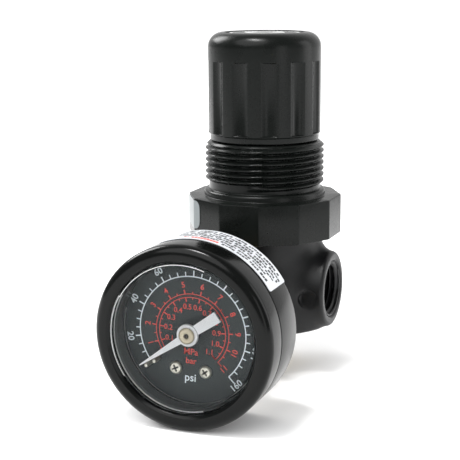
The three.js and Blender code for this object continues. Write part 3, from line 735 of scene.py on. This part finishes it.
# ---- Gauge case, bezel, lens, dial, pointer and label ----
def make_gauge_case():
    inner, neck_r, seat_r = CASE_R - CASE_WALL, 5.4, 17.5
    shell = lathe([
        (neck_r, CASE_BACK, 0.2), (CASE_R, CASE_BACK, 1.5), (CASE_R, 0, 0.18), (inner, 0, 0.05),
        (inner, -0.7, 0.05), (seat_r, -0.7, 0), (seat_r, -1.6, 0), (inner, -1.6, 0.05),
        (inner, CASE_BACK + CASE_WALL, 0.5), (neck_r, CASE_BACK + CASE_WALL, 0.1),
    ], 160, ring=True)
    hole = rod(1.5, CASE_BACK - 1, CASE_BACK + 2)
    holes = [mesh_of("hole", [moved(hole, y=y)], on_gauge) for y in (CASE_SCREW_Y, -CASE_SCREW_Y)]
    mesh = carved(mesh_of("case_shell", [shell], on_gauge), *holes)
    piece("case_shell", mesh, GAUGE_BLACK, "housing", ["gauge_case"])


def make_bezel():
    seat_r, rear, seat = 19.9, 0.3, 6.1
    ring = lathe([
        (seat_r, rear, 0), (CASE_R, rear, 0.18), (CASE_R, BEZEL_FRONT, 2.2),
        (OPENING_R + 0.6, BEZEL_FRONT, 0.35), (OPENING_R, BEZEL_FRONT - 0.6, 0.2),
        (OPENING_R, seat, 0.05), (seat_r, seat, 0),
    ], 160, ring=True, steps=8)
    build("bezel_ring", [ring], GAUGE_BLACK, "housing", ["gauge_bezel"], on_gauge)


def make_lens():
    """A window whose raised middle fills the bezel, a flange under it and a skirt down to the dial, with
    painted highlights: near-white arcs on its rims over some bearings only.
    """
    back, flange, front = 4.7, 5.9, 6.7
    flange_r, window_r, skirt_r, skirt_inner, foot = 19.6, 16.9, 17.0, 16.4, 0.3
    profile = rounded([
        (0, back, 0), (skirt_inner, back, 0.1), (skirt_inner, foot, 0.1), (skirt_r, foot, 0.1),
        (skirt_r, back, 0.1), (flange_r, back, 0.1), (flange_r, flange, 0.1),
        (window_r, flange, 0.15), (window_r, front, 0.45), (0, front, 0),
    ])
    flat_r = 15.2
    profile.insert(1, (flat_r, back))
    profile.insert(-1, (flat_r, front))
    window = turned(profile, 128)
    build("lens_window", [window], LENS, "housing", ["gauge_lens"], on_gauge, sharp=30)
    # Painted highlights: near-white arcs on the lens's rims, only over the bearings where they would catch
    # the light.
    gleams = [
        band(16.68, 16.85, 6.5, 6.58, 70, 150, 90),
        band(16.85, 17.15, 4.75, 4.85, 150, 285, 120),
        band(16.42, 16.65, 0.32, 0.4, 165, 330, 120),
        band(17.05, 17.3, 5.92, 6.08, 150, 215, 60),
    ]
    build("lens_glints_painted", gleams, PAINTED_LENS_GLINT, "housing", place=on_gauge)


def text_part(text, size, x, y, spin, bold):
    """Characters printed on the dial, centred at a point, as closed thin solids."""
    curve = bpy.data.curves.new("text", "FONT")
    curve.body = text
    curve.size = size
    curve.align_x = "CENTER"
    curve.align_y = "CENTER"
    curve.offset = bold
    curve.extrude = (INK_TOP - INK_LOW) / 2
    curve.resolution_u = 3
    obj = bpy.data.objects.new("text", curve)
    mesh = bpy.data.meshes.new_from_object(obj)
    shape = bmesh.new()
    shape.from_mesh(mesh)
    bmesh.ops.remove_doubles(shape, verts=shape.verts, dist=1e-5)
    verts = np.array([v.co for v in shape.verts], float).reshape(-1, 3)
    faces = [tuple(v.index for v in f.verts) for f in shape.faces]
    shape.free()
    bpy.data.objects.remove(obj)
    bpy.data.meshes.remove(mesh)
    bpy.data.curves.remove(curve)
    verts[:, 2] += (INK_LOW + INK_TOP) / 2
    return moved((verts, faces), x, y, 0, spin)


def around(text, size, radius, degrees, bold):
    """Characters on a circle, with their tops outwards above the centre and inwards below it."""
    x, y = polar(radius, degrees)
    flipped = 180 < degrees % 360 < 360
    spin = math.radians(degrees - 90) + (math.pi if flipped else 0)
    return text_part(text, size, x, y, spin, bold)


def tick(angle, first, last, width):
    """A printed mark along a radius of the dial."""
    return bar(polar(first, angle), polar(last, angle), width, INK_LOW, INK_TOP)


def make_dial():
    low, top = -0.5, 0.0
    disc = lathe([(0, low, 0), (DIAL_R, low, 0.05), (DIAL_R, top, 0.05), (0, top, 0)], 128)
    places = [polar(SCREW_CIRCLE, bearing + DIAL_TWIST) for bearing in SCREW_BEARINGS.values()]
    holes = [mesh_of("hole", [moved(rod(0.95, -1, 1), x, y)], on_gauge) for x, y in (*places, (0, 0))]
    mesh = carved(mesh_of("dial_disc", [disc], on_gauge), *holes)
    piece("dial_disc", mesh, DIAL_PAINT, "housing", ["gauge_dial"])


def make_white_scale():
    """Up to 160 psi. The arc and the ticks start at 5, under the resting pointer."""
    zero, per_psi, first, full = 222.6, 33.75 / 20, 5, 160
    start, end = zero - first * per_psi, zero - full * per_psi
    white = [band(12.65, 12.91, INK_LOW, INK_TOP, end, start, 160)]
    for psi in range(first, full + 1, 5):
        angle = zero - psi * per_psi
        outer, width = (14.15, 0.3) if psi % 20 == 0 else (13.8, 0.24)
        white.append(tick(angle, 12.8, 14.6 if psi == full else outer, width))
    for psi in range(20, full + 1, 20):
        white.append(around(str(psi), 2.15, 15.45, zero - psi * per_psi, 0.045))
    white.append(text_part("psi", 2.6, -0.6, -10.7, math.radians(DIAL_TWIST), 0.03))
    build("dial_scale_white", white, PRINT_WHITE, "housing", place=on_gauge)


def make_red_scale():
    """Up to 11 bar, outside two arcs, and up to 1.1 MPa inside them."""
    zero, per_bar, full = 222.9, 24.45, 11
    start, end = 213.5, zero - full * per_bar
    level = math.radians(DIAL_TWIST)
    red = [
        band(8.7, 8.86, INK_LOW, INK_TOP, end, start, 120),
        band(7.9, 8.06, INK_LOW, INK_TOP, end, start, 120),
        tick(end, 8.7, 10.0, 0.3),
        tick(end, 8.06, 6.8, 0.3),
    ]
    for half_bars in range(1, 2 * full + 1):
        angle = zero - half_bars * per_bar / 2
        outer, inner, width = (9.75, 7.0, 0.26) if half_bars % 2 == 0 else (9.3, 7.5, 0.17)
        red += [tick(angle, 8.8, outer, width), tick(angle, 7.98, inner, width)]
    for number in range(1, full + 1):
        angle = zero - number * per_bar
        red.append(around(str(number), 1.9, 10.85, angle, 0.015))
        red.append(text_part(f"{number / 10:.1f}", 1.75, *polar(5.85, angle), level, 0.01))
    red.append(text_part("MPa", 2.05, -0.4, -4.65, level, 0.015))
    red.append(text_part("bar", 2.0, -0.4, -6.75, level, 0.015))
    build("dial_scale_red", red, PRINT_RED, "housing", place=on_gauge)


def make_dial_screws():
    """Pan heads with a cross, and a dark bar of painted shade in the bottom of each cross."""
    head = lathe([
        (0, -1.6, 0), (0.7, -1.6, 0.1), (0.7, 0.1, 0), (1.5, 0.1, 0.08), (1.5, 0.5, 0.15),
        (1.15, 0.8, 0.25), (0, 0.9, 0),
    ], 48)
    cut_bar = bar((-0.85, 0), (0.85, 0), 0.42, 0.45, 2)
    shade_bar = bar((-0.8, 0), (0.8, 0), 0.4, 0.42, 0.55)
    for (name, bearing), stop in zip(SCREW_BEARINGS.items(), (24, 38)):
        x, y = polar(SCREW_CIRCLE, bearing + DIAL_TWIST)
        spins = [math.radians(stop) + k * math.pi / 2 for k in (0, 1)]
        # Painted shade: dark bars laid in the bottom of each cross recess.
        shade = [moved(shade_bar, x, y, 0, spin) for spin in spins]
        build(name + "_cross_shade_painted", shade, PAINTED_SHADE, "housing", place=on_gauge)
        tools = [mesh_of("cross", [moved(cut_bar, x, y, 0, spin)], on_gauge) for spin in spins]
        mesh = carved(mesh_of(name + "_head", [moved(head, x, y)], on_gauge), *tools)
        piece(name + "_head", mesh, NICKEL, "housing", [name])


def make_stop_pins():
    for name, radius, bearing in (("stop_pin_outer", 13.0, 218.0), ("stop_pin_inner", 10.7, 219.7)):
        pin = lathe([(0, -0.4, 0), (0.5, -0.4, 0), (0.5, 2.95, 0.25), (0, 2.95, 0)], 32)
        part = moved(pin, *polar(radius, bearing))
        build(name + "_turned", [part], NICKEL, "housing", [name], on_gauge)


def make_pointer():
    low, high = 2.35, 2.72
    upper = [(14.5, 0.13), (2.2, 0.86)]
    upper += [polar(POINTER_RING_R, angle) for angle in np.linspace(22, 154, 24)]
    upper += [(-2.4, 1.12), (-8.65, 1.32)]
    lower = [(x, -y) for x, y in reversed(upper)]
    blade = moved(plate(upper + lower, low, high), spin=math.radians(POINTER_REST))
    hole = mesh_of("hole", [rod(POINTER_HOLE_R, 1, 4, 32)], on_gauge)
    ring = lathe([
        (POINTER_HOLE_R, 2.36, 0), (POINTER_RING_R - 0.02, 2.36, 0.05),
        (POINTER_RING_R - 0.02, 3.05, 0.15), (POINTER_HOLE_R, 3.05, 0.05),
    ], 48, ring=True)
    flat = carved(mesh_of("pointer_blade", [blade], on_gauge), hole)
    mesh = joined(flat, mesh_of("ring", [ring], on_gauge))
    piece("pointer_blade", mesh, POINTER_PAINT, "pointer_arbor", ["pointer"])
    boss = lathe([
        (0, 1.8, 0), (0.9, 1.8, 0), (0.9, 3.1, 0), (1.85, 3.1, 0.1), (1.85, 3.5, 0.12),
        (1.5, 3.68, 0.2), (0.62, 3.6, 0.1), (0.52, 3.35, 0.05), (0, 3.35, 0),
    ], 48)
    build("pointer_boss", [boss], HUB_BRASS, "pointer_arbor", ["pointer_hub"], on_gauge)
    # Painted shade: a dark dot laid in the hollow centre of the boss.
    dot = lathe([(0, 3.3, 0), (0.5, 3.3, 0), (0.5, 3.5, 0.05), (0, 3.55, 0)], 24)
    build("pointer_boss_painted_shade", [dot], PAINTED_SHADE, "pointer_arbor", place=on_gauge)


def make_case_label():
    """A label round the top and right of the case, printed with rows of plain bars."""
    low, high, start, end = -10.0, -0.4, 30.5, 112.0
    inner, outer = CASE_R + 0.01, CASE_R + 0.13
    ink = 0.02

    def curved(r0, r1, z0, z1, a0, a1, corner, steps):
        sections = []
        for angle in np.linspace(a0, a1, steps + 1):
            away = max(min(angle - a0, a1 - angle), 0) * math.radians(1) * r1
            inset = drawn_in(corner, away)
            edge = ((r0, z0 + inset), (r1, z0 + inset), (r1, z1 - inset), (r0, z1 - inset))
            sections.append([(*polar(r, angle), z) for r, z in edge])
        return strip(sections)

    def printed(z0, z1, a0, a1):
        return curved(outer - ink, outer + ink, z0, z1, a0, a1, 0, 1)

    sheet = curved(inner, outer, low, high, start, end, 0.45, 180)
    build("case_label_sheet", [sheet], LABEL, "housing", ["case_label"], on_gauge)
    heading = -2.2
    lines = ((heading, 72, 37), (-3.6, 98, 42), (-5.0, 103, 36), (-6.4, 104, 34), (-7.8, 104, 33.5),
             (-9.2, 104, 36))
    gap, word_gap = 0.38, 1.3
    black = []
    for z, angle, last in lines:
        while angle > last:
            word_end = max(angle - RNG.uniform(5, 12), last)
            while angle > word_end:
                width = RNG.uniform(1.2, 2.1)
                foot, head = RNG.choice([0.0, 0.0, 0.2]), RNG.choice([0.7, 0.98, 0.98])
                black.append(printed(z + foot, z + head, angle - width, angle))
                angle -= width + gap
            angle -= word_gap
    red = []
    red_width, red_step = 1.6, 1.95
    for angle, last, tall in ((103, 94.5, 0.35), (91.5, 75.5, 1.0)):
        while angle > last:
            red.append(printed(heading, heading + tall, angle - red_width, angle))
            angle -= red_step
    build("case_label_print", black, LABEL_INK, "housing", place=on_gauge)
    build("case_label_heading", red, LABEL_RED, "housing", place=on_gauge)


# ---- Brass stem, screws and plugs ----
def make_stem():
    """The stem's 1/8 in thread, wrench square and flange, and the block inside the case."""
    angles = (np.arange(96) + 0.5) / 96 * TURN

    def square(half):
        return polygon_radius(angles, half, 4, corner=0.4)

    bore, spigot, spigot_front = 1.6, 5.0, -8.0
    thread_end, thread_start, square_back, flange_back, flange_front = (
        PORT_FACE + DIAL_Y - 6.5, -26.0, -24.5, -12.9, -11.3)
    thread_r, thread_depth, taper = 4.95, 0.6, 0.03
    rows = [(bore, thread_end), (4.3, thread_end), (4.5, thread_end + 0.2)]
    for z in np.arange(thread_end + 0.3, thread_start, SMALL_PIPE_PITCH / 10):
        rise, _ = helix(angles, z, SMALL_PIPE_PITCH, 0.0)
        size = thread_r - max(thread_start - 0.5 - z, 0) * taper
        rows.append((size - thread_depth + thread_depth * rise, z))
    rows += [
        (4.2, thread_start + 0.1),
        (4.2, square_back - 0.05),
        (square(5.1), square_back),
        (square(5.45), square_back + 0.15),
        (square(5.55), square_back + 0.5),
        (square(5.55), flange_back - 0.3),
        (square(5.45), flange_back - 0.05),
        (7.2, flange_back), (7.4, flange_back + 0.2), (7.4, flange_front - 0.2),
        (7.2, flange_front - 0.02), (spigot, flange_front), (spigot, spigot_front),
        (bore, spigot_front),
    ]
    shaft = mesh_of("stem_turned", [turned(rows, angles, ring=True)], on_gauge)
    outline = [(-4, -16.2), (4, -16.2), (4, 12.5), (-4, 12.5)]
    block = mesh_of("stem_block", [plate(outline, -10, -6.3)], on_gauge)
    drills = [
        mesh_of("drill", [moved(rod(radius, -13, -5, 32), y=y)], on_gauge)
        for radius, y in ((spigot + 0.02, 0), (1.3, CASE_SCREW_Y), (1.3, -CASE_SCREW_Y))
    ]
    mesh = joined(shaft, carved(block, *drills))
    piece("stem_turned", mesh, BRASS, "housing", ["gauge_stem"])


def make_case_screws():
    head = lathe([
        (0, -12.4, 0), (1.6, -12.4, 0.3), (2.2, -12.0, 0.2), (2.2, -11.3, 0.05), (1, -11.3, 0),
        (1, -7.4, 0.2), (0, -7.4, 0),
    ], 48)
    slots = [bar((-1.1, 0), (1.1, 0), 0.45, -13, -11.9), bar((0, -1.1), (0, 1.1), 0.45, -13, -11.9)]
    for name, y in (("case_screw_top", CASE_SCREW_Y), ("case_screw_bottom", -CASE_SCREW_Y)):
        tools = [mesh_of("cross", [moved(slot, y=y)], on_gauge) for slot in slots]
        mesh = carved(mesh_of(name + "_head", [moved(head, y=y)], on_gauge), *tools)
        piece(name + "_head", mesh, STEEL, "housing", [name])


def make_plugs():
    """The two plugs, each with a hexagon socket."""
    angles = np.arange(72) / 72 * TURN
    socket = polygon_radius(angles, 2.9 * math.cos(math.pi / 6), 6)
    mouth = socket + 0.25
    low, high = span_of("bottom_plug")
    head_r, head_top, skirt_r, floor = 7.8, low + 1.8, 5.3, low + 2
    rows = [(0, low + 1.3), (socket, low + 1.3), (socket, low + 0.2), (mouth, low)]
    rows += rounded([
        (5, low, 0), (head_r, low, 0.6), (head_r, head_top, 0.15), (skirt_r, head_top, 0),
        (skirt_r, high, 0.2), (3, high, 0.1), (3, floor, 0), (0, floor, 0),
    ])
    build("bottom_plug_turned", [turned(rows, angles)], BRASS, "housing", ["bottom_plug"])

    low, high = span_of("rear_port_plug", 1)
    root, crest, socket_floor = 4.4, 4.85, high - 4
    rows = [(0, low), (root, low), (crest, low + 0.5)]
    for y in np.arange(low + 0.6, high - 0.6, SMALL_PIPE_PITCH / 10):
        rise, _ = helix(angles, y, SMALL_PIPE_PITCH, 0.0)
        rows.append((root + (crest - root) * rise, y))
    rows += [(4.7, high - 0.4), (4.3, high), (mouth, high), (socket, high - 0.2)]
    rows += [(socket, socket_floor), (0, socket_floor)]
    plug = turned(rows, angles)
    build("rear_port_plug_turned", [plug], STEEL, "housing", ["rear_port_plug"], along_y)


# ---- Springs and diaphragm ----
def coil(radius, wire, low, high, turns):
    """A spring of round wire, wound between two heights."""
    sections = []
    ring = np.arange(12) / 12 * TURN
    for share in np.linspace(0, 1, turns * 36 + 1):
        angle = share * turns * TURN
        out = radius + wire * np.cos(ring)
        height = low + wire + (high - low - 2 * wire) * share + wire * np.sin(ring)
        sections.append(np.stack([out * math.cos(angle), out * math.sin(angle), height], 1))
    return strip(sections)


def make_springs():
    springs = (
        ("regulating_spring", 7.0, 0.92, "nut_travel", 0.665),
        ("valve_spring", 3.9, 0.32, "valve_stroke", 0.85),
    )
    for node, radius, wire, joint, keep in springs:
        low, high = span_of(node)
        wound = coil(radius, wire, low, high, 4)
        obj = build(node + "_coil", [wound], STEEL, "housing", [node], sharp=60)
        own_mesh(obj)


def make_diaphragm():
    """Its rim is clamped, its centre goes with the plate, and the fold lies between them."""
    low, high = span_of("diaphragm")
    flat, crown = low + 1, 10.8
    rim = lathe([(12.5, low, 0), (16.6, low, 0.1), (16.6, flat, 0.1), (12.5, flat, 0)], 96, ring=True)
    centre = lathe([(2, low, 0), (9.1, low, 0.1), (9.1, flat, 0.1), (2, flat, 0)], 96, ring=True)
    fold = lathe([
        (9.2, low, 0), (crown, low + 0.9, 0.6), (12.4, low, 0), (12.4, flat, 0),
        (crown, high, 0.6), (9.2, flat, 0),
    ], 96, ring=True)
    build("diaphragm_rim", [rim], RUBBER, "housing", ["diaphragm"])
    build("diaphragm_middle", [centre], RUBBER, "diaphragm_centre")
    obj = build("diaphragm_fold", [fold], RUBBER, "housing")
    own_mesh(obj)


make_body()
make_springs()
make_diaphragm()
make_port_threads()
make_bonnet()
make_collar_sticker()
make_knob()
make_knob_cover()
make_gauge_case()
make_bezel()
make_lens()
make_dial()
make_white_scale()
make_red_scale()
make_dial_screws()
make_stop_pins()
make_pointer()
make_case_label()
make_stem()
make_case_screws()
make_plugs()

# ---- Inner CAD pieces keep their shape and get the finish of their slot ----
for row in frame["record"]["subparts"]:
    node = frame["nodes"][row["node"]]
    node.data.materials.clear()
    node.data.materials.append(FINISHES[row["material_slot"]])


# ---- Floor, lights and camera ----
def make_floor():
    """A pale floor under the object, which is see-through from underneath."""
    size = 6.0
    level = cad_box[0][2]
    mesh = bpy.data.meshes.new("floor")
    corners = [(-size, -size, level), (size, -size, level), (size, size, level), (-size, size, level)]
    mesh.from_pydata(corners, [], [(0, 1, 2, 3)])
    made = bpy.data.materials.new("floor")
    made.use_nodes = True
    tree = made.node_tree
    shader = tree.nodes["Principled BSDF"]
    set_inputs(shader, Base_Color=(0.93, 0.93, 0.93, 1), Roughness=0.9, Specular_IOR_Level=0.0)
    side = add_node(tree, "NewGeometry")
    mix_of(tree, side.outputs["Backfacing"], shader, add_node(tree, "BsdfTransparent"))
    mesh.materials.append(made)
    floor = placed("floor", mesh)


def soft_box(name, place, target, width, height, power):
    """A rectangular light that faces a target. Metres and watts."""
    light = bpy.data.lights.new(name, "AREA")
    light.shape = "RECTANGLE"
    light.size = width
    light.size_y = height
    light.energy = power
    obj = placed(name, light)
    obj.location = place
    obj.rotation_euler = (Vector(target) - Vector(place)).to_track_quat("-Z", "Y").to_euler()


def make_world():
    """A white backdrop for the camera, and a studio that is brighter towards the back."""
    front_strength, back_strength, diffuse_fill = 0.22, 0.95, 0.45
    white = (1, 1, 1, 1)
    world = bpy.data.worlds.new("studio")
    world.use_nodes = True
    tree = world.node_tree
    link = tree.links.new
    walls = set_inputs(tree.nodes["Background"], Color=white)
    direction = add_node(tree, "TexCoord")
    split = add_node(tree, "SeparateXYZ")
    link(direction.outputs["Generated"], split.inputs[0])
    to_back = add_node(tree, "MapRange", From_Min=0.1, From_Max=0.8, To_Min=front_strength,
                       To_Max=back_strength)
    link(split.outputs["Y"], to_back.inputs["Value"])
    path = add_node(tree, "LightPath")
    fill = add_node(tree, "Math")
    fill.operation = "MULTIPLY_ADD"
    fill.inputs[1].default_value = diffuse_fill
    link(path.outputs["Is Diffuse Ray"], fill.inputs[0])
    link(to_back.outputs["Result"], fill.inputs[2])
    link(fill.outputs[0], walls.inputs["Strength"])
    backdrop = add_node(tree, "Background", Color=white, Strength=1.0)
    mix_of(tree, path.outputs["Is Camera Ray"], walls, backdrop)
    bpy.context.scene.world = world


def make_lights():
    sun = bpy.data.lights.new("sky_light", "SUN")
    sun.energy = 1.8
    sun.angle = math.radians(55)
    obj = placed("sky_light", sun)
    obj.rotation_euler = Vector((-0.25, -0.8, 1)).to_track_quat("Z", "Y").to_euler()
    middle = (0, -0.02, 0.02)
    soft_box("high_left_box", (-0.55, 0.2, 0.42), middle, 0.3, 0.3, 3.0)
    soft_box("right_box", (0.6, 0.3, 0.2), middle, 0.3, 0.6, 1.2)
    soft_box("front_top_box", (-0.08, -0.22, 0.7), middle, 0.18, 0.06, 3.2)
    soft_box("port_box", (0.5, -0.35, 0.15), middle, 0.2, 0.3, 0.3)


def make_camera():
    """In front of the object and to its right, looking a little down on it, with a slight roll."""
    yaw, pitch, roll = (math.radians(a) for a in (21.376, 11.705, -0.399))
    place = Vector((102.504, -286.283, 76.935)) * MM
    level = math.cos(pitch)
    ahead = Vector((-math.sin(yaw) * level, math.cos(yaw) * level, -math.sin(pitch)))
    right = Vector((math.cos(yaw), math.sin(yaw), 0))
    above = right.cross(ahead)
    turned_right = right * math.cos(roll) + above * math.sin(roll)
    turned_up = above * math.cos(roll) - right * math.sin(roll)
    camera = bpy.data.cameras.new("camera")
    camera.sensor_width = 36
    camera.lens = 94.63
    camera.clip_end = 50
    obj = placed("camera", camera)
    axes = Matrix((turned_right, turned_up, -ahead)).transposed().to_4x4()
    obj.matrix_world = Matrix.Translation(place) @ axes
    bpy.context.scene.camera = obj


make_floor()
make_world()
make_lights()
make_camera()
bpy.context.scene.view_settings.view_transform = "Standard"
